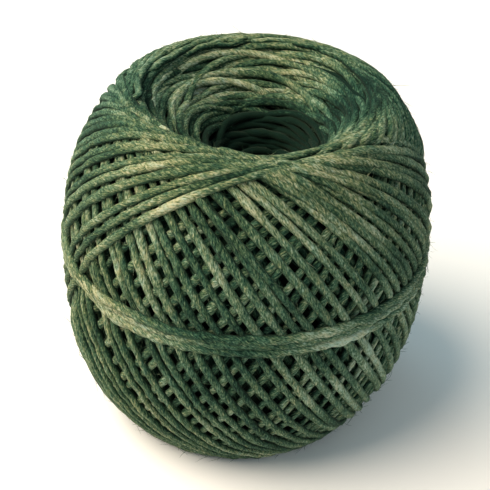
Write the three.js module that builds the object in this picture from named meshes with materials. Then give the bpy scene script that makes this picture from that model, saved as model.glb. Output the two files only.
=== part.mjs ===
// Ball of garden twine, wound over and under its middle so that a hole is left down the axis.
// Millimetres. +Z runs up the hole, the origin is at the centre of the flat spot it stands on.
import * as THREE from 'three';

// sizes that drive the whole form
const BALL_RADIUS = 44;          // at the waist, over the turns
const SHOULDER_LATITUDE = 51;    // degrees above the waist where the side rolls over into the rim
const RIM_ROLL_RADIUS = 5.3;     // round of the rim between the side and the funnel
const RIM_ROLL_SWEEP = 104;      // degrees the rim turns through before the funnel starts
const TURN_TILT = 57;            // degrees each turn leans from level
const TURNS_AROUND = 50;         // turns met in one trip around the waist
const NEWEST_TURN = 26;          // degrees around from -Y to the high point of the last turn
const GROOVE_SHARE = 0.36;       // depth of the groove between two turns, as a share of their pitch
const NEWEST_LIFT = 0.7;         // the last turn lies over its neighbours
const FLAT_SPOT_DEPTH = 0.8;     // how far the underside is pressed in where the ball stands

// how the side bulges: radius = 1 + sum of (gain * s^power), s = sine of latitude over the shoulder's
const BULGE = [
  { power: 2, gain: 0.244 },
  { power: 4, gain: -0.108 },
  { power: 8, gain: 0.033 },
];

// wall of the hole, from the end of the rim's roll to the middle of the ball
const HOLE_WALL = [
  { radius: 20.4, height: 36.6 },
  { radius: 16.2, height: 31.6 },
  { radius: 13.0, height: 26.6 },
  { radius: 10.4, height: 20.0 },
  { radius: 8.8, height: 11.0 },
  { radius: 8.2, height: 0.0 },
];
const HOLE_TURN_PITCH = 3.0;     // spacing of the turns that line each mouth of the hole
const MOUTH_TURNS = 6;           // turns that show at each mouth; deeper in the wall is plain
const DEEP_ROW_PITCH = 8.0;
const HOLE_TURN_DEPTH = 0.9;
const HOLE_TURN_SWAY = 0.8;      // each of those turns sits a little off centre
const HOLE_TURN_STEP = 137;      // degrees each one's lean moves around from the last

// three turns tied around the waist
const BAND = { middle: 5.0, turns: 3, turnWidth: 2.1, proud: 1.9, groove: 0.8, skirt: 0.45 };

// the strip of side that each row of the mesh takes
const STEP = 180 / TURNS_AROUND;                 // degrees of travel for each row, half a turn's pitch
const COLUMNS = 2 * TURNS_AROUND;                // one for each turn and one for each groove
const HOLE_COLUMNS = COLUMNS / 2;
const RIM_ROWS = 4;
const RIM_FADE_ROWS = 2;                         // rim rows over which the grooves die away

const rad = THREE.MathUtils.degToRad;
const deg = THREE.MathUtils.radToDeg;

function bulgedRadius(latitude) {
  const s = Math.abs(Math.sin(latitude)) / Math.sin(rad(SHOULDER_LATITUDE));
  return BALL_RADIUS * BULGE.reduce((sum, term) => sum + term.gain * s ** term.power, 1);
}

// a point of the side in the (radius, height) half plane
function sidePoint(latitude) {
  const r = bulgedRadius(latitude);
  return new THREE.Vector2(r * Math.cos(latitude), r * Math.sin(latitude));
}

function outwardNormal(latitude) {
  const gap = 0.002;
  const along = sidePoint(latitude + gap).sub(sidePoint(latitude - gap)).normalize();
  return new THREE.Vector2(along.y, -along.x);
}

// degrees a turn travels around the axis from its high point down to this latitude
function travelTo(latitude) {
  const tilt = rad(TURN_TILT);
  const cosS = THREE.MathUtils.clamp(Math.sin(latitude) / Math.sin(tilt), -1, 1);
  const sinS = Math.sqrt(1 - cosS * cosS);
  return deg(Math.atan2(sinS, cosS * Math.cos(tilt)));
}

function latitudeAt(travel) {
  const tilt = rad(TURN_TILT);
  const t = rad(travel);
  const along = Math.atan2(Math.sin(t) * Math.cos(tilt), Math.cos(t));
  return Math.asin(Math.sin(tilt) * Math.cos(along));
}

function latitudeOfHeight(height) {
  let low = -rad(SHOULDER_LATITUDE);
  let high = rad(SHOULDER_LATITUDE);
  for (let i = 0; i < 40; i += 1) {
    const middle = (low + high) / 2;
    if (sidePoint(middle).y < height) low = middle;
    else high = middle;
  }
  return (low + high) / 2;
}

// One row of vertices. Its columns start at the falling side of the newest turn and go around
// against its travel: first the turns that fall to the right, then those that rise to the right.
function rowColumns(travel, falling) {
  const columns = [];
  for (let c = 0; c < COLUMNS; c += 1) {
    const angle = NEWEST_TURN + travel - c * STEP;
    columns.push({
      angle: rad(angle),
      groove: c % 2 === 1,
      newest: c === 0 || c === 2 * falling,
    });
  }
  return columns;
}

// A row is { points: [Vector3], falling }, where falling counts the turns on the falling side.
function makeRow(place, travel, falling, lift) {
  const points = rowColumns(travel, falling).map((column) => {
    const p = place.point.clone().addScaledVector(place.normal, lift(column));
    return new THREE.Vector3(p.x * Math.sin(column.angle), -p.x * Math.cos(column.angle), p.y);
  });
  return { points, falling };
}

// straight across the turns, from one to the next, at a place on the side
function turnPitch(latitude) {
  const around = (2 * Math.PI * sidePoint(latitude).x) / TURNS_AROUND;
  const climb = Math.acos(Math.min(1, Math.cos(rad(TURN_TILT)) / Math.cos(latitude)));
  return around * Math.sin(climb);
}

const grooved = (latitude, fade) => (column) => {
  if (column.newest) return NEWEST_LIFT * fade;
  return column.groove ? -GROOVE_SHARE * turnPitch(latitude) * fade : 0;
};

function sideRow(latitude) {
  const travel = travelTo(latitude);
  const place = { point: sidePoint(latitude), normal: outwardNormal(latitude) };
  return makeRow(place, travel, Math.round(travel / STEP), grooved(latitude, 1));
}

// the band's outline above and below its middle: offset along the ball and height off it
function bandProfile() {
  const half = (BAND.turns * BAND.turnWidth) / 2;
  const profile = [{ offset: half + BAND.skirt, lift: null }, { offset: half, lift: BAND.proud / 2 }];
  for (let turn = 0; turn < BAND.turns; turn += 1) {
    const centre = half - (turn + 0.5) * BAND.turnWidth;
    profile.push({ offset: centre, lift: BAND.proud });
    if (turn < BAND.turns - 1) {
      profile.push({ offset: centre - BAND.turnWidth / 2, lift: BAND.proud - BAND.groove });
    }
  }
  profile.push({ offset: -half, lift: BAND.proud / 2 }, { offset: -half - BAND.skirt, lift: null });
  return profile;
}

function bandRows() {
  return bandProfile().map(({ offset, lift }) => {
    const latitude = latitudeOfHeight(BAND.middle + offset);
    if (lift === null) return sideRow(latitude);
    const travel = travelTo(latitude);
    const place = { point: sidePoint(latitude), normal: outwardNormal(latitude) };
    return makeRow(place, travel, Math.round(travel / STEP), () => lift);
  });
}

// the side from the upper shoulder down to the lower one
function sideRows() {
  const half = (BAND.turns * BAND.turnWidth) / 2 + BAND.skirt;
  const bandTop = travelTo(latitudeOfHeight(BAND.middle + half));
  const bandFoot = travelTo(latitudeOfHeight(BAND.middle - half));
  const first = Math.ceil(travelTo(rad(SHOULDER_LATITUDE)) / STEP);
  const above = [];
  const below = [];
  for (let n = first; n <= TURNS_AROUND - first; n += 1) {
    const travel = n * STEP;
    if (travel < bandTop - STEP / 3) above.push(sideRow(latitudeAt(travel)));
    if (travel > bandFoot + STEP / 3) below.push(sideRow(latitudeAt(travel)));
  }
  return [...above, ...bandRows(), ...below];
}

// The rim's roll, from just past the shoulder round to the funnel; sign is 1 on top, -1 below.
function rimPlaces(sign) {
  const latitude = rad(SHOULDER_LATITUDE);
  const start = sidePoint(latitude);
  const normal = outwardNormal(latitude);
  const centre = start.clone().addScaledVector(normal, -RIM_ROLL_RADIUS);
  const startAngle = Math.atan2(normal.y, normal.x);
  return Array.from({ length: RIM_ROWS }, (_, i) => {
    const angle = startAngle + rad(RIM_ROLL_SWEEP) * ((i + 1) / RIM_ROWS);
    const n = new THREE.Vector2(Math.cos(angle), Math.sin(angle));
    const point = centre.clone().addScaledVector(n, RIM_ROLL_RADIUS);
    return {
      point: new THREE.Vector2(point.x, sign * point.y),
      normal: new THREE.Vector2(n.x, sign * n.y),
    };
  });
}

function rimRows(sign, shoulderRow) {
  const shoulderTravel = travelTo(sign * rad(SHOULDER_LATITUDE));
  return rimPlaces(sign).map((place, i) => {
    const travel = shoulderTravel - sign * STEP * (i + 1);
    const fade = Math.max(0, 1 - (i + 1) / (RIM_FADE_ROWS + 1));
    return makeRow(place, travel, shoulderRow.falling, grooved(rad(SHOULDER_LATITUDE), fade));
  });
}

// Where the rows of the hole's wall fall along its line. Each turn that shows is a crest row,
// numbered from its own mouth, with a groove row on either side of it.
function holeStations(length) {
  const mouth = MOUTH_TURNS * HOLE_TURN_PITCH;
  const deepRows = Math.round((length - 2 * mouth) / DEEP_ROW_PITCH);
  const mouthStations = Array.from({ length: 2 * MOUTH_TURNS }, (_, i) => ({
    along: ((i + 1) * HOLE_TURN_PITCH) / 2,
    crest: i % 2 === 0 ? i / 2 + 1 : 0,
  }));
  const deepStations = Array.from({ length: deepRows - 1 }, (_, i) => ({
    along: mouth + ((length - 2 * mouth) * (i + 1)) / deepRows,
    crest: 0,
  }));
  const farStations = mouthStations.map(({ along, crest }) => ({ along: length - along, crest }));
  return [...mouthStations, ...deepStations, ...farStations.reverse()];
}

// the lining of the hole from one rim to the other
function holeRows(topPlace, topAngle) {
  const upper = [topPlace.point, ...HOLE_WALL.map((p) => new THREE.Vector2(p.radius, p.height))];
  const lower = upper.slice(0, -1).reverse().map((p) => new THREE.Vector2(p.x, -p.y));
  const line = [...upper, ...lower].map((p) => new THREE.Vector3(p.x, p.y, 0));
  const curve = new THREE.CatmullRomCurve3(line, false, 'centripetal');
  const length = curve.getLength();
  return holeStations(length).map(({ along, crest }) => {
    const place = curve.getPointAt(along / length);
    const tangent = curve.getTangentAt(along / length);
    const intoHole = new THREE.Vector3(tangent.y, -tangent.x, 0);
    const lean = rad(crest * HOLE_TURN_STEP);
    const points = Array.from({ length: HOLE_COLUMNS }, (_, c) => {
      const angle = topAngle - rad(2 * STEP * c);
      const p = place.clone();
      if (crest) {
        p.addScaledVector(tangent, HOLE_TURN_SWAY * Math.cos(angle - lean));
        p.addScaledVector(intoHole, HOLE_TURN_DEPTH);
      }
      return new THREE.Vector3(p.x * Math.sin(angle), -p.x * Math.cos(angle), p.y);
    });
    return { points };
  });
}

// triangles between two rows of the side; turns drop out under the newest one as others come in
function joinSide(upper, lower, addTriangle) {
  const u = (c) => upper.points[c % COLUMNS];
  const l = (c) => lower.points[c % COLUMNS];
  const gained = 2 * (lower.falling - upper.falling);
  const fallingShared = 2 * upper.falling;
  for (let c = 0; c < fallingShared; c += 1) {
    addTriangle(u(c), u(c + 1), l(c));
    addTriangle(u(c + 1), l(c + 1), l(c));
  }
  for (let c = fallingShared; c < fallingShared + gained; c += 1) {
    addTriangle(u(fallingShared), l(c + 1), l(c));
  }
  for (let c = fallingShared; c < COLUMNS - gained; c += 1) {
    addTriangle(u(c), u(c + 1), l(c + gained));
    addTriangle(u(c + 1), l(c + 1 + gained), l(c + gained));
  }
  for (let c = COLUMNS - gained; c < COLUMNS; c += 1) {
    addTriangle(u(c), u(c + 1), l(COLUMNS));
  }
}

const angleOf = (point) => Math.atan2(point.x, -point.y);

// Triangles between a rim row and the hole row beside it, which has half as many columns. The two
// rows may start at different angles, so the hole's columns are counted from the nearest one.
function joinHalved(rim, hole, flip, addTriangle) {
  const gap = angleOf(hole.points[0]) - angleOf(rim.points[0]);
  const shift = Math.round(gap / rad(2 * STEP)) + HOLE_COLUMNS;
  const f = (c) => rim.points[c % COLUMNS];
  const h = (c) => hole.points[(c + shift) % HOLE_COLUMNS];
  const add = flip ? (a, b, c) => addTriangle(a, c, b) : addTriangle;
  for (let c = 0; c < HOLE_COLUMNS; c += 1) {
    add(f(2 * c), h(c), f(2 * c + 1));
    add(f(2 * c + 1), h(c), h(c + 1));
    add(f(2 * c + 1), h(c + 1), f(2 * c + 2));
  }
}

function joinHole(first, second, addTriangle) {
  const a = (c) => first.points[c % HOLE_COLUMNS];
  const b = (c) => second.points[c % HOLE_COLUMNS];
  for (let c = 0; c < HOLE_COLUMNS; c += 1) {
    addTriangle(a(c), b(c), a(c + 1));
    addTriangle(a(c + 1), b(c), b(c + 1));
  }
}

function buildBall() {
  const side = sideRows();
  const topRim = rimRows(1, side[0]);
  const footRim = rimRows(-1, side[side.length - 1]);
  const topPlace = rimPlaces(1)[RIM_ROWS - 1];
  const hole = holeRows(topPlace, angleOf(topRim[RIM_ROWS - 1].points[0]));

  // from the hole's upper mouth over the rim, down the side and round to the lower mouth
  const outer = [...topRim.slice().reverse(), ...side, ...footRim];
  const base = Math.min(...footRim.map((row) => Math.min(...row.points.map((p) => p.z))));
  const floor = base + FLAT_SPOT_DEPTH;

  const positions = [];
  const indices = [];
  const known = new Map();
  const indexOf = (point) => {
    if (!known.has(point)) {
      known.set(point, positions.length / 3);
      positions.push(point.x, point.y, Math.max(point.z, floor) - floor);
    }
    return known.get(point);
  };
  const addTriangle = (a, b, c) => indices.push(indexOf(a), indexOf(b), indexOf(c));

  for (let i = 0; i < outer.length - 1; i += 1) joinSide(outer[i], outer[i + 1], addTriangle);
  joinHalved(outer[0], hole[0], false, addTriangle);
  for (let i = 0; i < hole.length - 1; i += 1) joinHole(hole[i], hole[i + 1], addTriangle);
  joinHalved(outer[outer.length - 1], hole[hole.length - 1], true, addTriangle);

  const geometry = new THREE.BufferGeometry();
  geometry.setAttribute('position', new THREE.Float32BufferAttribute(positions, 3));
  geometry.setIndex(indices);
  geometry.computeVertexNormals();
  return geometry;
}

const twine = new THREE.MeshStandardMaterial({ name: 'twine', color: 0x47583f, roughness: 0.85, metalness: 0 });

const ball = new THREE.Mesh(buildBall(), twine);
ball.name = 'ball';

const part = new THREE.Group();
part.name = 'ball_of_twine';
part.add(ball);

export default part;
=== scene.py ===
import math
import bpy
import numpy as np
from mathutils import Matrix, Vector


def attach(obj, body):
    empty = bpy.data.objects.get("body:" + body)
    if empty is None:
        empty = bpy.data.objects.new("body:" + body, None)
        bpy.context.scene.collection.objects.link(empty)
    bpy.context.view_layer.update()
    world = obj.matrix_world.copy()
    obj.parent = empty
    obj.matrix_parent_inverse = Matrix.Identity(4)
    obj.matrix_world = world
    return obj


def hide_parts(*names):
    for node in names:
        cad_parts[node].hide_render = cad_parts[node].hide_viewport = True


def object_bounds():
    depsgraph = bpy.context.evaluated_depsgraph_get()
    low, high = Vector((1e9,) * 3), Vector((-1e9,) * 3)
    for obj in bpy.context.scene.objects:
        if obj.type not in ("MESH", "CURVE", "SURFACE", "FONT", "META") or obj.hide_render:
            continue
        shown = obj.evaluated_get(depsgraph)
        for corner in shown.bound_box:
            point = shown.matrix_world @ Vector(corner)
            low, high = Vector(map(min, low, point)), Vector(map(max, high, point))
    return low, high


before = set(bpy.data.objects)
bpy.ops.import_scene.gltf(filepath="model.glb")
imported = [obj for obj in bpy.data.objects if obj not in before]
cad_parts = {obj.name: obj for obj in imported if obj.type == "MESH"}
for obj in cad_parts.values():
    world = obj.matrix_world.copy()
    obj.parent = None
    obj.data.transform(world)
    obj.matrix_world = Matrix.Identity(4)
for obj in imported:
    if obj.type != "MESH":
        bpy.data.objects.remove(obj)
bpy.context.view_layer.update()
cadLow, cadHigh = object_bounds()
rng = np.random.default_rng(41)
mm = 0.001
anyAngle = 6.28      # a whole turn, for whatever may start anywhere
print("frame loaded, ball box", [round(v, 4) for v in (*cadLow, *cadHigh)])


# The wound form, in millimetres from the ball's middle: side, rim and hole.
ballForm = {
    "waistRadius": 44.0,
    "bulge": ((2, 0.244), (4, -0.108), (8, 0.033)),  # (power, gain) of sine over the shoulder's sine
    "shoulder": 51.0,        # degrees of latitude where the side rolls into the rim
    "rimRoll": 5.3,
    "rimSweep": 104.0,
    "holeWall": ((20.4, 36.6), (16.2, 31.6), (13.0, 26.6), (10.4, 20.0), (8.8, 11.0), (8.2, 0.0)),
    "profilePoints": (90, 40, 120),   # along the side, the rim and the hole's wall
    "flatSpot": 0.8,         # how far the underside is pressed in
    "flatFrom": 1.4,         # height under which its own weight flattens the turns it stands on
    "flatTo": 0.02,
    "lean": 0.024,           # the top sits this much to the right for each millimetre up
    "bandSqueeze": 1.25,     # how far the waist band pulls the turns in
    "squeezeReach": 4.5,
}
ballHeight = (cadHigh.z - cadLow.z) / mm
ballMiddle = ballHeight - (ballHeight + ballForm["flatSpot"]) / 2   # height of the middle above the floor


def sideRadius(latitude):
    s = np.abs(np.sin(latitude)) / math.sin(math.radians(ballForm["shoulder"]))
    total = 1.0
    for power, gain in ballForm["bulge"]:
        total = total + gain * s ** power
    return ballForm["waistRadius"] * total


def outerProfile():
    # (radius, height) from the waist over the rim and down the hole to the middle, finely spaced
    sidePoints, rimPoints, wallSteps = ballForm["profilePoints"]
    latitude = np.radians(np.linspace(0, ballForm["shoulder"], sidePoints))
    side = np.stack([sideRadius(latitude) * np.cos(latitude), sideRadius(latitude) * np.sin(latitude)], 1)
    along = side[-1] - side[-2]
    along /= np.linalg.norm(along)
    inward = np.array([-along[1], along[0]])
    centre = side[-1] + inward * ballForm["rimRoll"]
    turn = np.radians(np.linspace(0, ballForm["rimSweep"], rimPoints))[1:]
    spoke = side[-1] - centre
    roll = centre + np.stack([spoke[0] * np.cos(turn) - spoke[1] * np.sin(turn),
                              spoke[0] * np.sin(turn) + spoke[1] * np.cos(turn)], 1)
    corners = np.vstack([roll[-1:], np.array(ballForm["holeWall"])])
    step = np.concatenate([[0], np.cumsum(np.linalg.norm(np.diff(corners, axis=0), axis=1))])
    fine = np.linspace(0, step[-1], wallSteps)[1:]
    wall = np.stack([np.interp(fine, step, corners[:, 0]), np.interp(fine, step, corners[:, 1])], 1)
    return side, roll, wall


sideLine, rollLine, wallLine = outerProfile()


def surfaceByLatitude():
    # the same outline as a distance from the middle for each latitude, up to the rim's inner edge
    line = np.vstack([sideLine, rollLine, wallLine])
    latitude = np.arctan2(line[:, 1], line[:, 0])
    distance = np.hypot(line[:, 0], line[:, 1])
    top = int(np.argmax(latitude))
    return latitude[:top + 1], distance[:top + 1]


surfaceLatitude, surfaceDistance = surfaceByLatitude()


def surfaceAt(latitude):
    return np.interp(np.abs(latitude), surfaceLatitude, surfaceDistance)


def flattened(height):
    # the closer to the floor, the more the turns are pressed together
    room = ballForm["flatFrom"] - ballForm["flatTo"]
    below = np.minimum(height - ballForm["flatFrom"], 0)
    return np.where(below < 0, ballForm["flatTo"] + room * np.exp(below / room), height)


# How the twine runs. Angles in degrees, lengths in millimetres. Turns are counted back from the last.
winding = {
    "twineRadius": 0.90,
    "radiusScatter": 0.05,
    "looseRadius": 1.00,        # the last turns aren't pulled thin by others over them
    "looseTurns": 5,
    "turnsAround": 63.5,        # turns in one trip of the high point around the hole
    "trips": 2,                 # trips that are wound in full, each over the one before
    # (longitude of the high point, lean) of the last turns, newest first
    "lastTurns": ((29.0, 54.0), (23.0, 54.0), (17.0, 53.5), (13.0, 54.0), (3.0, 54.0), (-3.0, 54.0),
                  (-6.0, 55.0), (-12.0, 55.5), (-16.0, 55.5), (-21.0, 55.5), (-24.0, 56.0), (-29.0, 57.0),
                  (-32.0, 57.8)),
    "tiltFirst": 56.2,          # lean of the turns after those, and what it drifts to
    "tiltLast": 59.4,
    "tiltDrift": 90,            # over this many turns
    "tiltScatter": 1.2,
    "steepest": 58.8,           # no turn leans more than this
    "spacingScatter": 1.35,
    "sway": 0.32,               # slow sideways wander of a turn
    "swayWaves": (2, 3, 5),
    "pathPoints": 1200,         # per turn, while it is laid
    "pathRadius": 46,           # a turn's length is taken at this distance from the middle
    "sectionEdge": 0.92,        # share of the radius out to which a turn feels what it lies on
    "sectionTracks": 7,
    "leastDistance": 15,        # of the pile from the ball's middle
    "squash": 0.38,             # share of the radius at which two turns rest on each other
    "sink": 0.15,               # and how far they press into the soft turns below
    "stiffness": 1.2,           # how gently a turn bends over what it crosses
    "tautReach": 12.0,          # how far a taut turn bridges from what holds it up
    "settleWaist": 2.8,         # how much lower a turn one trip older may lie, at the waist
    "settleRim": 4.0,           # and at the rim, where the turns press into each other
    "rimLatitude": 55,
    "standProud": 0.25,         # how far a turn may ride above the smooth form
    "depthWaist": 2.35,         # depth of the turns that are laid one by one
    "depthRim": 1.95,
    "slip": 2.6,                # degrees that a turn may slip sideways at a rim
    "slipTries": 9,
    "slipCost": 6.0,            # how unwilling it is to slip
    "bumpCost": 1.2,            # how unwilling it is to cross an uneven pile
    "slipTurns": 12,            # the newest turns slip less, up to this one
    "easePoints": 60,           # over which one turn runs into the next
}


def turnTable():
    # high point and lean of each turn, newest first
    count = int(winding["turnsAround"] * winding["trips"])
    step = 360.0 / winding["turnsAround"]
    apexes, tilts = [list(column) for column in zip(*winding["lastTurns"])]
    apex = apexes[-1]
    while len(apexes) < count + 1:
        apex -= step
        apexes.append(apex + rng.normal(0, winding["spacingScatter"]))
        drift = (winding["tiltLast"] - winding["tiltFirst"]) * min(1, len(tilts) / winding["tiltDrift"])
        lean = winding["tiltFirst"] + drift + rng.normal(0, winding["tiltScatter"])
        tilts.append(min(winding["steepest"], lean))
    return np.radians(np.array(apexes)), np.radians(np.array(tilts))


def turnDirections(apex, tilt, s, sway=0.0):
    # unit directions from the ball's middle along a turn, and the sideways direction at each
    high = np.stack([np.sin(apex) * np.cos(tilt), -np.cos(apex) * np.cos(tilt), np.sin(tilt)], -1)
    ahead = np.stack([np.cos(apex), np.sin(apex), np.zeros_like(apex)], -1)
    across = np.cross(high, ahead)
    out = high * np.cos(s)[:, None] + ahead * np.sin(s)[:, None]
    sway = np.asarray(sway)
    if sway.ndim:
        out = out * np.cos(sway)[:, None] + across * np.sin(sway)[:, None]
    return out, across


# How high the pile stands is kept on a grid of longitude and latitude.
gridColumns = 1120
gridRows = 460
gridTop = math.radians(68)
outOfReach = -1e9


def gridCell(direction):
    column = (np.arctan2(direction[..., 0], -direction[..., 1]) / (2 * math.pi) + 0.5) * gridColumns
    latitude = np.arcsin(np.clip(direction[..., 2], -1, 1))
    row = (latitude / gridTop + 1) / 2 * gridRows
    return np.clip(row.astype(int), 0, gridRows - 1), column.astype(int) % gridColumns


def tautEnvelope(height, stepLength, closed=True):
    # a taut line touches only the high places and bridges the hollows between them
    reach = int(winding["tautReach"] / stepLength)
    curve = 2 * ballForm["waistRadius"]
    held = []
    for way in (1, -1):
        best = height.copy()
        for shift in range(1, reach, 2):
            drop = (shift * stepLength) ** 2 / curve
            far = np.roll(height, way * shift)
            if not closed:
                far[:shift] = far[-shift:] = outOfReach
            np.maximum(best, far - drop, out=best)
        held.append(best)
    return np.minimum(*held)


def smoothed(values, spread, closed=True):
    reach = int(3 * spread)
    if reach < 1:
        return values
    weight = np.exp(-0.5 * (np.arange(-reach, reach + 1) / spread) ** 2)
    padded = np.pad(values, reach, mode="wrap" if closed else "edge")
    return np.convolve(padded, weight / weight.sum(), mode="valid")


def turnsSince(out, k, apexes):
    # how many turns ago this turn was the last one to pass each place along it
    longitude = np.arctan2(out[:, 0], -out[:, 1])
    latitude = np.arcsin(np.clip(out[:, 2], -1, 1))
    lean = math.radians(winding["tiltFirst"])
    aside = np.arccos(np.clip(np.tan(latitude) / math.tan(lean), -1, 1))
    newest = apexes[0]
    passed = np.maximum.accumulate(newest - apexes)
    latest = np.full(len(out), -outOfReach)
    for way in (1, -1):
        back = np.mod(newest - (longitude + way * aside), 2 * math.pi)
        latest = np.minimum(latest, np.interp(back, passed, np.arange(len(passed))))
    return np.clip(k - latest, 0, None)


def waistToRim(latitude, atWaist, atRim):
    share = np.clip(np.abs(latitude) / math.radians(winding["rimLatitude"]), 0, 1) ** 2
    return atWaist + (atRim - atWaist) * share


def highestFor(out, radius, turnsAgo):
    # a turn can't pile up for ever on its neighbours: it presses into them, the older the deeper
    latitude = np.arcsin(np.clip(out[:, 2], -1, 1))
    settle = waistToRim(latitude, winding["settleWaist"], winding["settleRim"])
    return surfaceAt(latitude) - radius + winding["standProud"] - settle * turnsAgo / winding["turnsAround"]


def nestle(heights, out, across, s, most):
    # near each rim a turn slips sideways to where the pile is lowest
    away = np.zeros(len(s))
    tries = np.radians(np.linspace(-most, most, winding["slipTries"]))
    for high in (0.0, math.pi):
        near = np.cos(s - high)
        weight = np.clip(near, 0, 1) ** 5
        span = near > 0.86      # within 30 degrees of the high point
        cost = []
        for slip in tries:
            angle = (slip * weight[span])[:, None]
            pile = heights[gridCell(out[span] * np.cos(angle) + across[span] * np.sin(angle))]
            cost.append(pile.mean() + winding["bumpCost"] * pile.std() + winding["slipCost"] * abs(slip))
        away += tries[int(np.argmin(cost))] * weight
    angle = away[:, None]
    return out * np.cos(angle) + across * np.sin(angle)


def layTurn(heights, out, across, radius, stepLength, closed=True, turnsAgo=None):
    # rests one turn on what is already wound and adds it to the height map; gives its own distance
    edge = winding["sectionEdge"]
    offsets = np.linspace(-edge, edge, winding["sectionTracks"]) * radius
    rest = radius * winding["squash"]
    nominal = np.maximum(heights[gridCell(out)], winding["leastDistance"])
    support = np.full(len(out), outOfReach)
    cells = []
    for offset in offsets:
        angle = (offset / nominal)[:, None]
        row, column = gridCell(out * np.cos(angle) + across * np.sin(angle))
        cells.append((row, column, offset))
        if abs(offset) < rest:
            np.maximum(support, heights[row, column] + math.sqrt(rest ** 2 - offset ** 2), out=support)
    if turnsAgo is not None:
        support = np.minimum(support, highestFor(out, radius, turnsAgo))
    distance = smoothed(tautEnvelope(support, stepLength, closed), winding["stiffness"] / stepLength, closed)
    distance = distance - winding["sink"]
    for row, column, offset in cells:
        np.maximum.at(heights, (row, column), distance + math.sqrt(radius ** 2 - offset ** 2))
    return distance


def gridLatitudes():
    return ((np.arange(gridRows) + 0.5) / gridRows * 2 - 1) * gridTop


def woundDepth(latitude):
    return waistToRim(latitude, winding["depthWaist"], winding["depthRim"])


def windBall():
    apexes, tilts = turnTable()
    count = len(apexes) - 1
    points = winding["pathPoints"]
    share = np.arange(points) / points
    s = share * 2 * math.pi
    stepLength = 2 * math.pi * winding["pathRadius"] / points
    radii = winding["twineRadius"] * (1 + rng.normal(0, winding["radiusScatter"], count))
    radii[:winding["looseTurns"]] *= winding["looseRadius"] / winding["twineRadius"]
    start = surfaceAt(gridLatitudes()) - woundDepth(gridLatitudes())
    heights = np.repeat(start[:, None], gridColumns, 1)
    laid = [None] * count
    for k in range(count - 1, -1, -1):
        sway = sum(rng.normal(0, winding["sway"] / m) * np.cos(m * s + rng.uniform(0, 2 * math.pi))
                   for m in winding["swayWaves"]) * np.sin(s / 2) ** 2 / ballForm["waistRadius"]
        apex = apexes[k] + (apexes[k + 1] - apexes[k]) * share
        tilt = tilts[k] + (tilts[k + 1] - tilts[k]) * share
        out, across = turnDirections(apex, tilt, s, sway)
        out = nestle(heights, out, across, s, winding["slip"] * min(1, (k + 1) / winding["slipTurns"]))
        turnsAgo = turnsSince(out, k, apexes)
        distance = layTurn(heights, out, across, radii[k], stepLength, turnsAgo=turnsAgo)
        laid[k] = (out, distance)
    return laid, radii, heights


laidTurns, turnRadii, heightMap = windBall()
print("turns laid:", len(laidTurns))


# Three level turns hold the winding together just above the waist.
waistBand = {
    "height": 5.0,              # above the middle
    "spread": 1.8,              # from one turn to the next
    "radius": 1.08,
    "sides": 10,
    "spacing": 0.8,
    "lobeHeight": 0.16,
    "back": 160.0,              # longitude of its two ends
    "overlap": 14.0,            # degrees by which the last turn passes the first
    "places": (1, 0, -1, 1),    # where each turn starts and the last one ends, in turns above the middle
    "crossAt": -58.0,           # longitude where the turns change places, the last over the others
    "crossOver": 46.0,
    "pointsPerDegree": 3.4,
    "layRadius": 45,            # the distance from the middle at which its length is taken
    "levelRadius": 45.2,
    "wander": 0.22,
    "wanderLength": 24,
    "wanderSmooth": 18,
    "tuck": 14.0,               # length over which each end dips under
    "tuckDepth": 2.6,
    "paintedLightAt": -55.0,            # longitude where painted light makes it palest
    "paintedLightOver": 42.0,
    "paintedLightBy": 0.12,
}


def squeezed(height):
    # the waist band pulls in what it lies on
    away = (height - waistBand["height"]) / ballForm["squeezeReach"]
    return ballForm["bandSqueeze"] * np.exp(-away ** 2)


def joinTurns(first, last, spacing):
    # one continuous length of twine from the turns between two places in the winding
    thin = max(1, int(spacing / (2 * math.pi * winding["pathRadius"] / winding["pathPoints"])))
    points = winding["easePoints"]
    ease = np.linspace(1, 0, points) ** 2
    runs = []
    for k in range(first, last):
        out, distance = laidTurns[k]
        distance = distance.copy()
        if k + 1 < last:
            gap = laidTurns[k + 1][1][0] - distance[-1]
            distance[-points:] += gap / 2 * ease[::-1]
        if k > first:
            gap = distance[0] - laidTurns[k - 1][1][-1]
            distance[:points] -= gap / 2 * ease
        distance -= squeezed(out[:, 2] * distance)
        runs.append((out * distance[:, None])[::thin])
    return np.vstack(runs)


# Turning paths into twine: a lumpy, twisted rope section swept along each path.
twine = {
    "lobes": 3,
    "lobeHeight": 0.04,        # of the radius
    "twistLength": 15.0,       # millimetres of twine for one full turn of its twist
    "lumpLength": 4.5,         # thick and thin places
    "lumpHeight": 0.09,
    "lumpLimits": (0.7, 1.3),
    "pressed": (0.88, 1.06),   # wound tight, it lies flatter and wider than round
    "pathSpacing": 0.9,
    "thicknessBlend": 12,      # points over which one turn's thickness runs into the next
    "endTaper": 2.5,
    "endShare": 0.02,          # of the section that is left at an end
    "toneDrift": 0.13,         # lighter and darker stretches
    "driftLength": 22.0,
    "fleckStart": 900,
    "depthShade": 0.42,        # darker for each millimetre that it lies deeper than this
    "shadeFrom": 3.2,
    "shadeDepth": 3,
    "sideShade": 0.50,         # darker where two lengths touch
}


def pathFrames(path, up=None):
    tangent = np.gradient(path, axis=0)
    tangent /= np.linalg.norm(tangent, axis=1)[:, None]
    out = path / np.linalg.norm(path, axis=1)[:, None] if up is None else up
    out = out - tangent * (out * tangent).sum(1)[:, None]
    out /= np.linalg.norm(out, axis=1)[:, None]
    return out, np.cross(tangent, out)


def wander(at, period, dice):
    knots = np.arange(0, at[-1] + 4 * period, period / 2)
    return np.interp(at, knots, dice.normal(0, 1, len(knots)))


def depthUnder(path):
    # how far a path lies under the smooth form
    distance = np.linalg.norm(path, axis=1)
    return surfaceAt(np.arcsin(path[:, 2] / distance)) - distance
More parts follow.
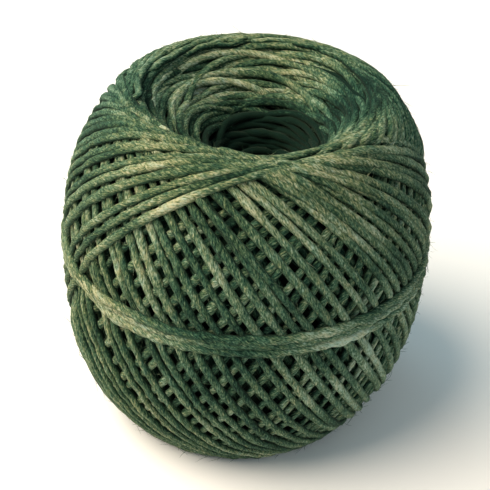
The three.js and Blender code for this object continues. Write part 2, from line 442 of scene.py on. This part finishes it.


# Some places are made paler and warmer, others darker and cooler: partly dye worn by handling and daylight,
# partly painted light and painted shade.
wearAndPaintedLight = {
    "upwards": 0.0007,          # paler towards the top, per millimetre
    "places": (                 # x, y, z from the middle, reach, paler by, warmer by
        (-2, -33, 38, 13, -0.10, 0.08),
        (-20, -25, 40, 12, 0.01, 0.11),
        (20, -28, 38, 9, 0.02, 0.11),
        (3, 24, 38, 13, 0.02, 0.10),
        (-34, -28, 5, 14, 0.00, 0.12),
        (-15, -31, 38, 7, 0.10, 0.04),
        (20, 8, 28, 9, -0.18, -0.06),
        (-3, 17, 22, 9, -0.15, 0.00),
        (23, 3, 36, 10, -0.40, -0.15),
        (36, 6, 34, 13, -0.15, -0.14),
        (-33, 4, 38, 12, -0.12, -0.20),
        (-26, -6, 36, 8, -0.20, 0.00),
        (-1, -44, 5, 12, -0.17, -0.02),
        (-12, -42, -6, 14, -0.06, -0.05),
        (1, -41, 21, 15, -0.08, -0.05),
        (-24, -33, -22, 14, 0.08, 0.08),
        (30, -33, 1, 14, 0.14, -0.04),
        (28, -30, -8, 26, 0.00, -0.08),
    ),
}


def wearAndPaintedLightAt(path):
    # paler and warmer place by place: worn dye together with painted light and painted shade
    paler = wearAndPaintedLight["upwards"] * path[:, 2]
    warmer = np.zeros(len(path))
    for *place, reach, pale, warm in wearAndPaintedLight["places"]:
        near = np.exp(-((path - place) ** 2).sum(1) / reach ** 2)
        paler = paler + pale * near
        warmer = warmer + warm * near
    return paler, warmer


class TwineMesh:
    # gathers many lengths of twine into one mesh
    def __init__(self, seed):
        self.points, self.quads, self.caps = [], [], []
        self.spun, self.tone, self.warmth = [], [], []
        self.count = 0
        self.dice = np.random.default_rng(seed)

    def add(self, path, radius, sides, spacing, tone=0.0, lobeHeight=twine["lobeHeight"],
            endTaper=twine["endTaper"], up=None, shade=True):
        step = np.concatenate([[0], np.cumsum(np.linalg.norm(np.diff(path, axis=0), axis=1))])
        at = np.linspace(0, step[-1], max(4, int(step[-1] / spacing)) + 1)
        tone = np.interp(at, step, tone) if np.ndim(tone) else np.full(len(at), tone)
        path = np.stack([np.interp(at, step, path[:, axis]) for axis in range(3)], 1)
        if up is not None:
            up = np.stack([np.interp(at, step, up[:, axis]) for axis in range(3)], 1)
        out, side = pathFrames(path, up)
        turn = np.arange(sides) / sides * 2 * math.pi
        twist = at / twine["twistLength"] * 2 * math.pi + self.dice.uniform(0, anyAngle)
        angle = turn[None, :] - twist[:, None]
        lobe = 1 + lobeHeight * np.cos(twine["lobes"] * angle)
        thick = 1 + twine["lumpHeight"] * wander(at, twine["lumpLength"], self.dice)
        ends = np.minimum(at, at[-1] - at) / endTaper
        thick = np.clip(thick, *twine["lumpLimits"]) * np.sqrt(np.clip(ends, twine["endShare"], 1))
        radius = np.interp(at, step, radius) if np.ndim(radius) else np.full(len(at), radius)
        reach = (radius * thick)[:, None] * lobe
        high, wide = twine["pressed"]
        upwards = (high * reach * np.cos(turn))[..., None] * out[:, None, :]
        sideways = (wide * reach * np.sin(turn))[..., None] * side[:, None, :]
        ring = path[:, None, :] + upwards + sideways
        first, rows = self.count, len(path)
        rowStart = first + np.arange(rows - 1)[:, None] * sides
        here = rowStart + np.arange(sides)[None, :]
        beside = rowStart + (np.arange(sides)[None, :] + 1) % sides
        self.quads.append(np.stack([here, here + sides, beside + sides, beside], -1).reshape(-1, 4))
        self.caps.append(first + np.arange(sides))
        self.caps.append((first + (rows - 1) * sides + np.arange(sides))[::-1])
        self.points.append(ring.reshape(-1, 3))
        along = at + self.dice.uniform(0, twine["fleckStart"])
        spun = np.stack([np.repeat(along[:, None], sides, 1), np.cos(angle) * radius[:, None],
                         np.sin(angle) * radius[:, None]], -1)
        self.spun.append(spun.reshape(-1, 3))
        # worn dye, painted light and painted shade of the places along this path
        paler, warmer = wearAndPaintedLightAt(path)
        self.warmth.append(np.repeat(warmer, sides))
        tone = tone + paler + twine["toneDrift"] * wander(at, twine["driftLength"], self.dice)
        if shade:
            deeper = np.clip(depthUnder(path) - twine["shadeFrom"], 0, twine["shadeDepth"])
            tone = tone - twine["depthShade"] * deeper
        tone = tone[:, None] - twine["sideShade"] * (1 - np.cos(turn))[None, :] ** 1.5 / 2
        self.tone.append(tone.reshape(-1))
        self.count += rows * sides

    def build(self, name, material):
        points = np.concatenate(self.points)
        points[:, 0] += ballForm["lean"] * points[:, 2]
        points[:, 2] = flattened(points[:, 2] + ballMiddle)
        quads = np.concatenate(self.quads)
        loops = np.concatenate([quads.reshape(-1)] + self.caps).astype(np.int32)
        sizes = np.concatenate([np.full(len(quads), 4), [len(cap) for cap in self.caps]]).astype(np.int32)
        starts = np.concatenate([[0], np.cumsum(sizes)[:-1]]).astype(np.int32)
        mesh = bpy.data.meshes.new(name)
        mesh.vertices.add(len(points))
        mesh.vertices.foreach_set("co", (points * mm).astype(np.float32).reshape(-1))
        mesh.loops.add(len(loops))
        mesh.loops.foreach_set("vertex_index", loops)
        mesh.polygons.add(len(sizes))
        mesh.polygons.foreach_set("loop_start", starts)
        mesh.update(calc_edges=True)
        mesh.validate()
        mesh.shade_smooth()
        spun = mesh.attributes.new("spun", "FLOAT_VECTOR", "POINT")
        spun.data.foreach_set("vector", np.concatenate(self.spun).astype(np.float32).reshape(-1))
        tone = mesh.attributes.new("tone", "FLOAT", "POINT")
        tone.data.foreach_set("value", np.concatenate(self.tone).astype(np.float32))
        warmth = mesh.attributes.new("warmth", "FLOAT", "POINT")
        warmth.data.foreach_set("value", np.concatenate(self.warmth).astype(np.float32))
        piece = bpy.data.objects.new(name, mesh)
        bpy.context.collection.objects.link(piece)
        mesh.materials.append(material)
        print("built", name, "with", int((sizes - 2).sum()), "triangles")
        return piece


# Jute: fine fibres along the twist, soft mottling, pale dashes where fibres catch the light.
jute = {
    "dark": (0.003, 0.014, 0.009),
    "deep": (0.017, 0.047, 0.028),
    "green": (0.063, 0.112, 0.062),
    "olive": (0.172, 0.206, 0.118),
    "pale": (0.400, 0.415, 0.305),
    "stops": ((0.04, "dark"), (0.26, "deep"), (0.48, "green"), (0.66, "olive"), (0.95, "pale")),
    "lightness": 0.318,
    "fibreScale": (1.30, 6.0),      # along the twine, around it; per millimetre
    "fibreContrast": 1.4,
    "dashScale": (1.30, 3.0),
    "dashContrast": 1.15,
    "mottleScale": (0.16, 0.40),
    "mottleContrast": 0.36,
    "hueScale": (0.50, 1.00),
    "hueStops": ((0.34, "cool"), (0.66, "warm")),
    "cool": (0.74, 0.97, 1.08),     # dye took differently from place to place; the same tints also carry the painted light and shade of the worn places
    "warm": (1.12, 1.00, 0.84),
    "roughness": 0.86,
    "specular": 0.08,
    "sheen": 0.05,
    "sheenRoughness": 0.5,
    "sheenTint": (0.75, 0.85, 0.6),
    "bump": 0.9,
    "bumpHeight": 0.35,             # millimetres
    "fibreBump": 0.7,
    "dashBump": 0.5,
}


def makeJute(name, lift=0.0):
    material = bpy.data.materials.new(name)
    material.use_nodes = True
    nodes, links = material.node_tree.nodes, material.node_tree.links
    shader = nodes["Principled BSDF"]

    def node(kind, x, y, **settings):
        made = nodes.new(kind)
        made.location = (x, y)
        for key, value in settings.items():
            setattr(made, key, value)
        return made

    def stretched(scales, x, y, detail, rough):
        along, around = scales
        scale = node("ShaderNodeVectorMath", x, y, operation="MULTIPLY")
        scale.inputs[1].default_value = (along, around, around)
        links.new(spun.outputs["Vector"], scale.inputs[0])
        noise = node("ShaderNodeTexNoise", x + 180, y)
        noise.inputs["Scale"].default_value = 1.0
        noise.inputs["Detail"].default_value = detail
        noise.inputs["Roughness"].default_value = rough
        links.new(scale.outputs[0], noise.inputs["Vector"])
        return noise.outputs["Fac"]

    def combined(operation, x, y, *values):
        made = node("ShaderNodeMath", x, y, operation=operation)
        for socket, value in zip(made.inputs, values):
            if isinstance(value, (int, float)):
                socket.default_value = value
            else:
                links.new(value, socket)
        return made.outputs[0]

    spun = node("ShaderNodeAttribute", -1500, 200, attribute_name="spun")
    tone = node("ShaderNodeAttribute", -1500, -200, attribute_name="tone")
    warmth = node("ShaderNodeAttribute", -700, 760, attribute_name="warmth")
    fibre = stretched(jute["fibreScale"], -1300, 300, 3.0, 0.65)
    dash = stretched(jute["dashScale"], -1300, 60, 2.0, 0.5)
    mottle = stretched(jute["mottleScale"], -1300, -180, 2.0, 0.5)
    drift = stretched(jute["hueScale"], -700, 520, 4.0, 0.7)

    # light and dark: fibres and dashes about their own middle, on soft patches
    streaks = combined("MULTIPLY_ADD", -900, 300, fibre, jute["fibreContrast"], -jute["fibreContrast"] / 2)
    flecks = combined("MULTIPLY_ADD", -900, 100, dash, jute["dashContrast"], -jute["dashContrast"] / 2)
    patches = combined("MULTIPLY_ADD", -900, -100, mottle, jute["mottleContrast"], jute["lightness"] + lift)
    total = combined("ADD", -520, 100, combined("ADD", -700, 200, streaks, flecks), patches)
    total = combined("ADD", -340, 60, total, tone.outputs["Fac"])
    ramp = node("ShaderNodeValToRGB", -160, 200)
    elements = ramp.color_ramp.elements
    while len(elements) < len(jute["stops"]):
        elements.new(0.5)
    for element, (place, colour) in zip(elements, jute["stops"]):
        element.position = place
        element.color = (*jute[colour], 1)
    links.new(total, ramp.inputs["Fac"])

    # cooler and warmer stretches: uneven dye, plus the warmth of the worn and painted-light places
    hues = node("ShaderNodeValToRGB", -340, 520)
    for element, (place, colour) in zip(hues.color_ramp.elements, jute["hueStops"]):
        element.position = place
        element.color = (*jute[colour], 1)
    links.new(combined("ADD", -520, 640, drift, warmth.outputs["Fac"]), hues.inputs["Fac"])
    tint = node("ShaderNodeMix", 60, 320, data_type="RGBA", blend_type="MULTIPLY")
    tint.inputs[0].default_value = 1.0
    links.new(ramp.outputs["Color"], tint.inputs[6])
    links.new(hues.outputs["Color"], tint.inputs[7])
    links.new(tint.outputs[2], shader.inputs["Base Color"])

    rise = combined("ADD", -340, -350, combined("MULTIPLY", -520, -300, fibre, jute["fibreBump"]),
                    combined("MULTIPLY", -520, -450, dash, jute["dashBump"]))
    bump = node("ShaderNodeBump", -160, -350)
    bump.inputs["Strength"].default_value = jute["bump"]
    bump.inputs["Distance"].default_value = jute["bumpHeight"] * mm
    links.new(rise, bump.inputs["Height"])
    links.new(bump.outputs["Normal"], shader.inputs["Normal"])
    shader.inputs["Roughness"].default_value = jute["roughness"]
    shader.inputs["Specular IOR Level"].default_value = jute["specular"]
    shader.inputs["Sheen Weight"].default_value = jute["sheen"]
    shader.inputs["Sheen Roughness"].default_value = jute["sheenRoughness"]
    shader.inputs["Sheen Tint"].default_value = (*jute["sheenTint"], 1)
    return material


juteTwine = makeJute("dyedJute")
juteBand = makeJute("bandJute", 0.05)
pieces = []

# The turns on the outside are finest; those of the trip before lie under them.
layers = {
    "outer": {"turns": (0, 32), "sides": 8, "spacing": 1.1, "tone": 0.0},
    # the older turns that show between the newer ones get a little painted light
    "outerOlder": {"turns": (32, 64), "sides": 8, "spacing": 1.15, "tone": 0.02},
    "under": {"turns": (64, 127), "sides": 6, "spacing": 2.0, "tone": 0.0},
}
for name, layer in layers.items():
    run = TwineMesh(seed=100 + layer["turns"][0])
    first, last = layer["turns"]
    path = joinTurns(first, min(last, len(laidTurns)), twine["pathSpacing"])
    radii = turnRadii[first:last]
    thickness = np.repeat(radii, len(path) // len(radii) + 1)[:len(path)]
    thickness = smoothed(thickness, twine["thicknessBlend"], closed=False)
    run.add(path, thickness, layer["sides"], layer["spacing"], tone=layer["tone"])
    pieces.append(run.build("twine_" + name, juteTwine))
print("turns of the outside built")


# Older turns show only where they pass round the hole, as short runs that hug its wall.
holeTurns = {
    "count": 230,
    "start": 5.6,               # where they start and end, along the wall from the rim's shoulder
    "reach": 52.0,
    "stepAround": -2.39996,     # radians from one run to the next
    "aroundScatter": 0.1,
    "halfLength": 19.0,         # of each run
    "lengthScatter": (0.75, 1.2),
    "widest": 52.0,             # and no more degrees to either side than this
    "points": 60,
    "slant": 7.0,
    "sag": 0.16,                # both ends lie deeper in the hole
    "wave": 0.3,
    "waves": (2, 5),
    "setBack": (0.35, 2.3),     # shares of the radius that a run stands behind the wall
    "dive": 2.4,                # both ends go into the wound mass
    "leanFrom": 10,             # the hole leans to the right as it goes down
    "lean": 0.15,
    "leanLimit": 3.2,
    "closeIn": 2.4,             # and narrows by this
    "closeFrom": 12.0,
    "closeOver": 14.0,
    "darkFrom": 19.0,           # along the wall, where it starts to lose the light and where it has none
    "darkTo": 27.0,
    "darkShade": 1.1,
    "lit": 0.07,                # painted light: the runs round the hole are made paler, which shows at its mouth
    "toneScatter": 0.10,
    "sides": 8,
    "spacing": 1.3,
    "endTaper": 3.0,
    "radiusScatter": 0.07,
}


def makeWallTrack():
    # the wall from the rim's crest downwards, with the direction into the wound mass
    line = np.vstack([rollLine, wallLine])
    line = line[int(np.argmax(np.hypot(line[:, 0], line[:, 1]))):]
    along = np.concatenate([[0], np.cumsum(np.linalg.norm(np.diff(line, axis=0), axis=1))])
    way = np.gradient(line, axis=0)
    way /= np.linalg.norm(way, axis=1)[:, None]
    return along, line, np.stack([-way[:, 1], way[:, 0]], 1)


wallAlong, wallPoints, wallBack = makeWallTrack()


def onWall(along, behind):
    # (distance from the axis, height) of places along the wall, set back into the wound mass
    return [np.interp(along, wallAlong, wallPoints[:, axis])
            + behind * np.interp(along, wallAlong, wallBack[:, axis]) for axis in (0, 1)]


def holeLean(along):
    lower = np.maximum(along - holeTurns["leanFrom"], 0)
    return np.minimum(lower * holeTurns["lean"], holeTurns["leanLimit"])


def holeRun(along, longitude, radius, dice):
    r = float(np.interp(along, wallAlong, wallPoints[:, 0]))
    half = holeTurns["halfLength"] * dice.uniform(*holeTurns["lengthScatter"]) / r
    half = min(half, math.radians(holeTurns["widest"]))
    turn = np.linspace(-half, half, holeTurns["points"])
    slant = math.tan(math.radians(dice.normal(0, holeTurns["slant"])))
    depth = along + slant * r * turn + holeTurns["sag"] * r * turn ** 2
    wave = np.sin(turn * dice.uniform(*holeTurns["waves"]) + dice.uniform(0, anyAngle))
    depth = np.clip(depth + holeTurns["wave"] * wave, 0, wallAlong[-1])
    back = radius * dice.uniform(*holeTurns["setBack"]) + holeTurns["dive"] * np.abs(turn / half) ** 3
    closing = np.clip((depth - holeTurns["closeFrom"]) / holeTurns["closeOver"], 0, 1)
    back = back - holeTurns["closeIn"] * closing
    r, z = onWall(depth, back)
    rOpen, zOpen = onWall(depth, back - 1)
    way = longitude + turn
    path = np.stack([r * np.sin(way) + holeLean(depth), -r * np.cos(way), z], 1)
    up = np.stack([(rOpen - r) * np.sin(way), (r - rOpen) * np.cos(way), zOpen - z], 1)
    return path, up


for end, name in ((1, "top"), (-1, "bottom")):
    run = TwineMesh(seed=300 + end)
    dice = np.random.default_rng(700 + end)
    count = holeTurns["count"]
    steps = np.linspace(holeTurns["start"], holeTurns["reach"], 400)
    area = np.cumsum(np.interp(steps, wallAlong, wallPoints[:, 0]))
    for k in range(count - 1, -1, -1):
        along = float(np.interp((k + 0.5) / count * area[-1], area, steps))
        longitude = holeTurns["stepAround"] * k + dice.normal(0, holeTurns["aroundScatter"])
        radius = winding["twineRadius"] * (1 + dice.normal(0, holeTurns["radiusScatter"]))
        path, up = holeRun(along, longitude, radius, dice)
        path[:, 2] *= end
        up[:, 2] *= end
        # painted light on every run round the hole, and painted shade deeper down
        loss = (along - holeTurns["darkFrom"]) / (holeTurns["darkTo"] - holeTurns["darkFrom"])
        tone = dice.normal(0, holeTurns["toneScatter"]) + holeTurns["lit"]
        tone = tone - holeTurns["darkShade"] * np.clip(loss, 0, 1)
        run.add(path, radius, holeTurns["sides"], holeTurns["spacing"], tone=tone,
                endTaper=holeTurns["endTaper"], up=up, shade=False)
    pieces.append(run.build("twine_hole_" + name, juteTwine))
print("turns round the hole built")


# The inside of the ball, a near-black surface of painted shade, seen only through the slits.
core = {
    "underTurns": 3.0,       # below the oldest turn that is laid
    "behindWall": 2.6,
    "topLatitude": 57,
    "sideRows": 40,
    "wallFrom": 8,
    "wallRows": 36,
    "wallReach": 40,         # the wall is left out where it is farther than this from the middle
    "middleGap": 0.5,
    "columns": 150,
    "roughen": 0.25,
    "lowest": 0.3,
    "colour": (0.006, 0.011, 0.007),
    "contrast": (0.5, 2.0),
    "speckle": 900,
    "roughness": 0.95,
    "specular": 0.05,
}


def makeShadedJute():
    material = bpy.data.materials.new("shadedJute")
    material.use_nodes = True
    nodes, links = material.node_tree.nodes, material.node_tree.links
    shader = nodes["Principled BSDF"]
    noise = nodes.new("ShaderNodeTexNoise")
    noise.inputs["Scale"].default_value = core["speckle"]
    coords = nodes.new("ShaderNodeTexCoord")
    links.new(coords.outputs["Object"], noise.inputs["Vector"])
    ramp = nodes.new("ShaderNodeValToRGB")
    for element, share in zip(ramp.color_ramp.elements, core["contrast"]):
        element.color = (*[value * share for value in core["colour"]], 1)
    links.new(noise.outputs["Fac"], ramp.inputs["Fac"])
    links.new(ramp.outputs["Color"], shader.inputs["Base Color"])
    shader.inputs["Roughness"].default_value = core["roughness"]
    shader.inputs["Specular IOR Level"].default_value = core["specular"]
    return material


def makeCore():
    latitude = np.radians(np.linspace(0, core["topLatitude"], core["sideRows"]))
    far = surfaceAt(latitude) - woundDepth(latitude) - core["underTurns"]
    side = np.stack([far * np.cos(latitude), far * np.sin(latitude)], 1)
    along = np.linspace(core["wallFrom"], wallAlong[-1], core["wallRows"])
    wall = np.stack(onWall(along, core["behindWall"]), 1)
    kept = (wall[:, 1] > core["middleGap"]) & (np.hypot(wall[:, 0], wall[:, 1]) < core["wallReach"])
    half = np.vstack([side, wall[kept]])
    lean = np.concatenate([np.zeros(len(side)), holeLean(along[kept])])
    ring = np.vstack([half[1:], (half * (1, -1))[::-1][:-1]])
    lean = np.concatenate([lean[1:], lean[::-1][:-1]])
    columns = core["columns"]
    turn = np.arange(columns) / columns * 2 * math.pi
    dice = np.random.default_rng(9)
    points = np.stack([ring[:, None, 0] * np.sin(turn), -ring[:, None, 0] * np.cos(turn),
                       np.repeat(ring[:, 1:2], columns, 1)], -1)
    points[:, :, 0] += lean[:, None] + ballForm["lean"] * points[:, :, 2]
    points += dice.normal(0, core["roughen"], points.shape)
    points[:, :, 2] = np.maximum(points[:, :, 2] + ballMiddle, core["lowest"])
    rows = len(ring)
    faces = []
    for i in range(rows):
        here, below = i * columns, (i + 1) % rows * columns
        for j in range(columns):
            beside = (j + 1) % columns
            faces.append((here + j, here + beside, below + beside, below + j))
    mesh = bpy.data.meshes.new("core")
    mesh.from_pydata((points.reshape(-1, 3) * mm).tolist(), [], faces)
    mesh.validate()
    mesh.shade_smooth()
    mesh.materials.append(makeShadedJute())
    piece = bpy.data.objects.new("twine_core", mesh)
    bpy.context.collection.objects.link(piece)
    return piece


pieces.append(makeCore())
print("dark inside built")


def bandPath():
    turns = len(waistBand["places"]) - 1
    total = 360 * turns + waistBand["overlap"]
    degrees = waistBand["back"] - 360 + np.linspace(0, total, int(total * waistBand["pointsPerDegree"]))
    trip = np.minimum((degrees - waistBand["back"] + 360) // 360, turns - 1).astype(int)
    local = degrees - trip * 360
    change = np.clip((local - waistBand["crossAt"]) / waistBand["crossOver"] + 0.5, 0, 1)
    change = change * change * (3 - 2 * change)
    places = np.array(waistBand["places"])
    level = places[trip] + (places[trip + 1] - places[trip]) * change
    angle = np.radians(degrees)
    arc = angle * waistBand["layRadius"]
    sway = wander(arc - arc[0], waistBand["wanderLength"], rng) * waistBand["wander"]
    height = waistBand["height"] + level * waistBand["spread"]
    height = height + smoothed(sway, waistBand["wanderSmooth"], closed=False)
    latitude = np.arcsin(np.clip(height / waistBand["levelRadius"], -1, 1))
    ahead, aside = np.sin(angle), -np.cos(angle)
    out = np.stack([ahead * np.cos(latitude), aside * np.cos(latitude), np.sin(latitude)], 1)
    across = np.stack([-ahead * np.sin(latitude), -aside * np.sin(latitude), np.cos(latitude)], 1)
    return degrees, out, across


bandDegrees, bandOut, bandAcross = bandPath()
heightMap -= squeezed(np.sin(gridLatitudes()) * ballForm["waistRadius"])[:, None]
bandStep = math.radians(bandDegrees[1] - bandDegrees[0]) * waistBand["layRadius"]
bandDistance = layTurn(heightMap, bandOut, bandAcross, waistBand["radius"], bandStep, closed=False)
fromEnd = np.minimum(np.arange(len(bandOut)), np.arange(len(bandOut))[::-1]) * bandStep
tucked = np.clip(1 - fromEnd / waistBand["tuck"], 0, 1) ** 2
bandDistance = bandDistance - waistBand["tuckDepth"] * tucked
# painted light: the band is made paler where the light falls on it most
fromPaintedLight = np.mod(bandDegrees - waistBand["paintedLightAt"] + 180, 360) - 180
bandTone = waistBand["paintedLightBy"] * np.exp(-(fromPaintedLight / waistBand["paintedLightOver"]) ** 2)
run = TwineMesh(seed=500)
run.add(bandOut * bandDistance[:, None], waistBand["radius"], waistBand["sides"], waistBand["spacing"],
        tone=bandTone, lobeHeight=waistBand["lobeHeight"])
pieces.append(run.build("twine_band", juteBand))
print("waist band laid at", round(float(np.median(bandDistance)), 2), "mm")


# Loose fibres that stand off the twine.
fuzz = {
    "count": 6200,
    "countQuick": 800,
    "onBand": 0.08,             # share of them that grow from the waist band
    "newestTurns": 64,          # the rest grow from these
    "deepest": 1.5,             # but not where the turn lies deeper than this under the pile
    "length": (1.2, 4.2),
    "shorter": 0.5,
    "radius": 0.045,
    "radiusScatter": (0.6, 1.3),
    "sides": 3,
    "points": 5,
    "segments": 3.01,
    "taper": 0.7,
    "root": 0.85,               # share of the twine's radius at which a fibre starts
    "around": 1.2,              # radians to either side of the outermost line of the twine
    "drift": 0.45,
    "lift": 0.30,
    "press": -0.1,
    "pressScatter": 0.5,
    "curl": 0.33,
    "paler": (0.072, 0.12),     # middle and scatter
}


def makeFuzz(name, count, seed):
    dice = np.random.default_rng(seed)
    run = TwineMesh(seed=seed)
    made = 0
    while made < count:
        if dice.random() < fuzz["onBand"]:
            outs, distances = bandOut, bandDistance
            i = dice.integers(2, len(outs) - 2)
        else:
            outs, distances = laidTurns[dice.integers(0, fuzz["newestTurns"])]
            i = dice.integers(1, len(outs) - 1)
            row, column = gridCell(outs[i])
            if heightMap[row, column] - distances[i] > fuzz["deepest"]:
                continue
        out, distance, ahead = outs[i], distances[i], outs[i + 1] - outs[i - 1]
        ahead = ahead / np.linalg.norm(ahead) * dice.choice((-1, 1))
        side = np.cross(out, ahead)
        around = dice.uniform(-fuzz["around"], fuzz["around"])
        face = out * math.cos(around) + side * math.sin(around)
        start = out * distance + face * winding["twineRadius"] * fuzz["root"]
        length = dice.uniform(*fuzz["length"]) * dice.uniform(fuzz["shorter"], 1)
        t = np.linspace(0, 1, fuzz["points"])[:, None]
        drift = side * dice.normal(0, fuzz["drift"]) + ahead
        rise = face * abs(dice.normal(0, fuzz["lift"]))
        bend = side * dice.normal(0, 1) + face * dice.normal(fuzz["press"], fuzz["pressScatter"])
        path = start + length * (t * (drift + rise) + t ** 2 * bend * fuzz["curl"])
        radius = fuzz["radius"] * dice.uniform(*fuzz["radiusScatter"])
        paler = fuzz["paler"][0] + fuzz["paler"][1] * dice.normal(0, 1)
        run.add(path, radius, fuzz["sides"], length / fuzz["segments"], tone=paler, lobeHeight=0,
                endTaper=length * fuzz["taper"], shade=False)
        made += 1
    return run.build(name, juteTwine)


pieces.append(makeFuzz("twine_fibres", fuzz["count"], 61))
print("loose fibres built")


# Everything is one soft wound thing that stands for the solid ball.
for piece in pieces:
    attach(piece, "root")
    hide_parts("ball")


# Camera, lights and floor.
view = {
    "elevation": 36.0,
    "distance": 264.0,
    "lens": 80.2,
    "sensor": 36,
    "roll": 2.5,
    "floorSize": 12.0,
    "floorColour": (0.90, 0.85, 0.85),
    "floorRoughness": 0.9,
    "skyColour": (0.76, 0.97, 1.0),
    "skyStrength": 0.38,
}
lights = {                      # place in metres, size, power, colour
    "key": ((-0.52, -0.10, 0.76), 0.85, 16.5, (1.0, 0.91, 0.74)),
    "fill": ((0.7, -0.5, 0.45), 0.8, 1.2, (0.86, 0.95, 1.0)),
    "edge": ((-0.45, 0.60, 0.40), 0.5, 1.5, (0.45, 0.85, 1.0)),
}


def placeCamera():
    middle = Vector((0, 0, ballMiddle * mm))
    tilt = math.radians(view["elevation"])
    cameraData = bpy.data.cameras.new("camera")
    cameraData.lens = view["lens"]
    cameraData.sensor_width = view["sensor"]
    cameraData.clip_start = 0.01
    camera = bpy.data.objects.new("camera", cameraData)
    bpy.context.collection.objects.link(camera)
    tip = Matrix.Rotation(math.radians(90) - tilt, 4, "X")
    roll = Matrix.Rotation(math.radians(view["roll"]), 4, "Z")
    place = middle + Vector((0, -math.cos(tilt), math.sin(tilt))) * view["distance"] * mm
    camera.matrix_world = Matrix.Translation(place) @ tip @ roll
    bpy.context.scene.camera = camera


def areaLight(name, place, size, power, colour):
    light = bpy.data.lights.new(name, "AREA")
    light.shape = "DISK"
    light.size = size
    light.energy = power
    light.color = colour
    lamp = bpy.data.objects.new(name, light)
    lamp.location = place
    towards = Vector((0, 0, ballMiddle * mm)) - Vector(place)
    lamp.rotation_euler = towards.to_track_quat("-Z", "Y").to_euler()
    bpy.context.collection.objects.link(lamp)


def makeFloor():
    size = view["floorSize"]
    mesh = bpy.data.meshes.new("floor")
    corners = [(-size, -size, 0), (size, -size, 0), (size, size, 0), (-size, size, 0)]
    mesh.from_pydata(corners, [], [(0, 1, 2, 3)])
    material = bpy.data.materials.new("paleFloor")
    material.use_nodes = True
    shader = material.node_tree.nodes["Principled BSDF"]
    shader.inputs["Base Color"].default_value = (*view["floorColour"], 1)
    shader.inputs["Roughness"].default_value = view["floorRoughness"]
    mesh.materials.append(material)
    floor = bpy.data.objects.new("floor", mesh)
    bpy.context.collection.objects.link(floor)


def makeSky():
    world = bpy.data.worlds.new("softSky")
    world.use_nodes = True
    sky = world.node_tree.nodes["Background"]
    sky.inputs["Color"].default_value = (*view["skyColour"], 1)
    sky.inputs["Strength"].default_value = view["skyStrength"]
    bpy.context.scene.world = world


placeCamera()
for name, light in lights.items():
    areaLight(name, *light)
makeFloor()
makeSky()
bpy.context.scene.view_settings.view_transform = "Standard"
print("camera, lights and floor set")

bpy.context.view_layer.update()
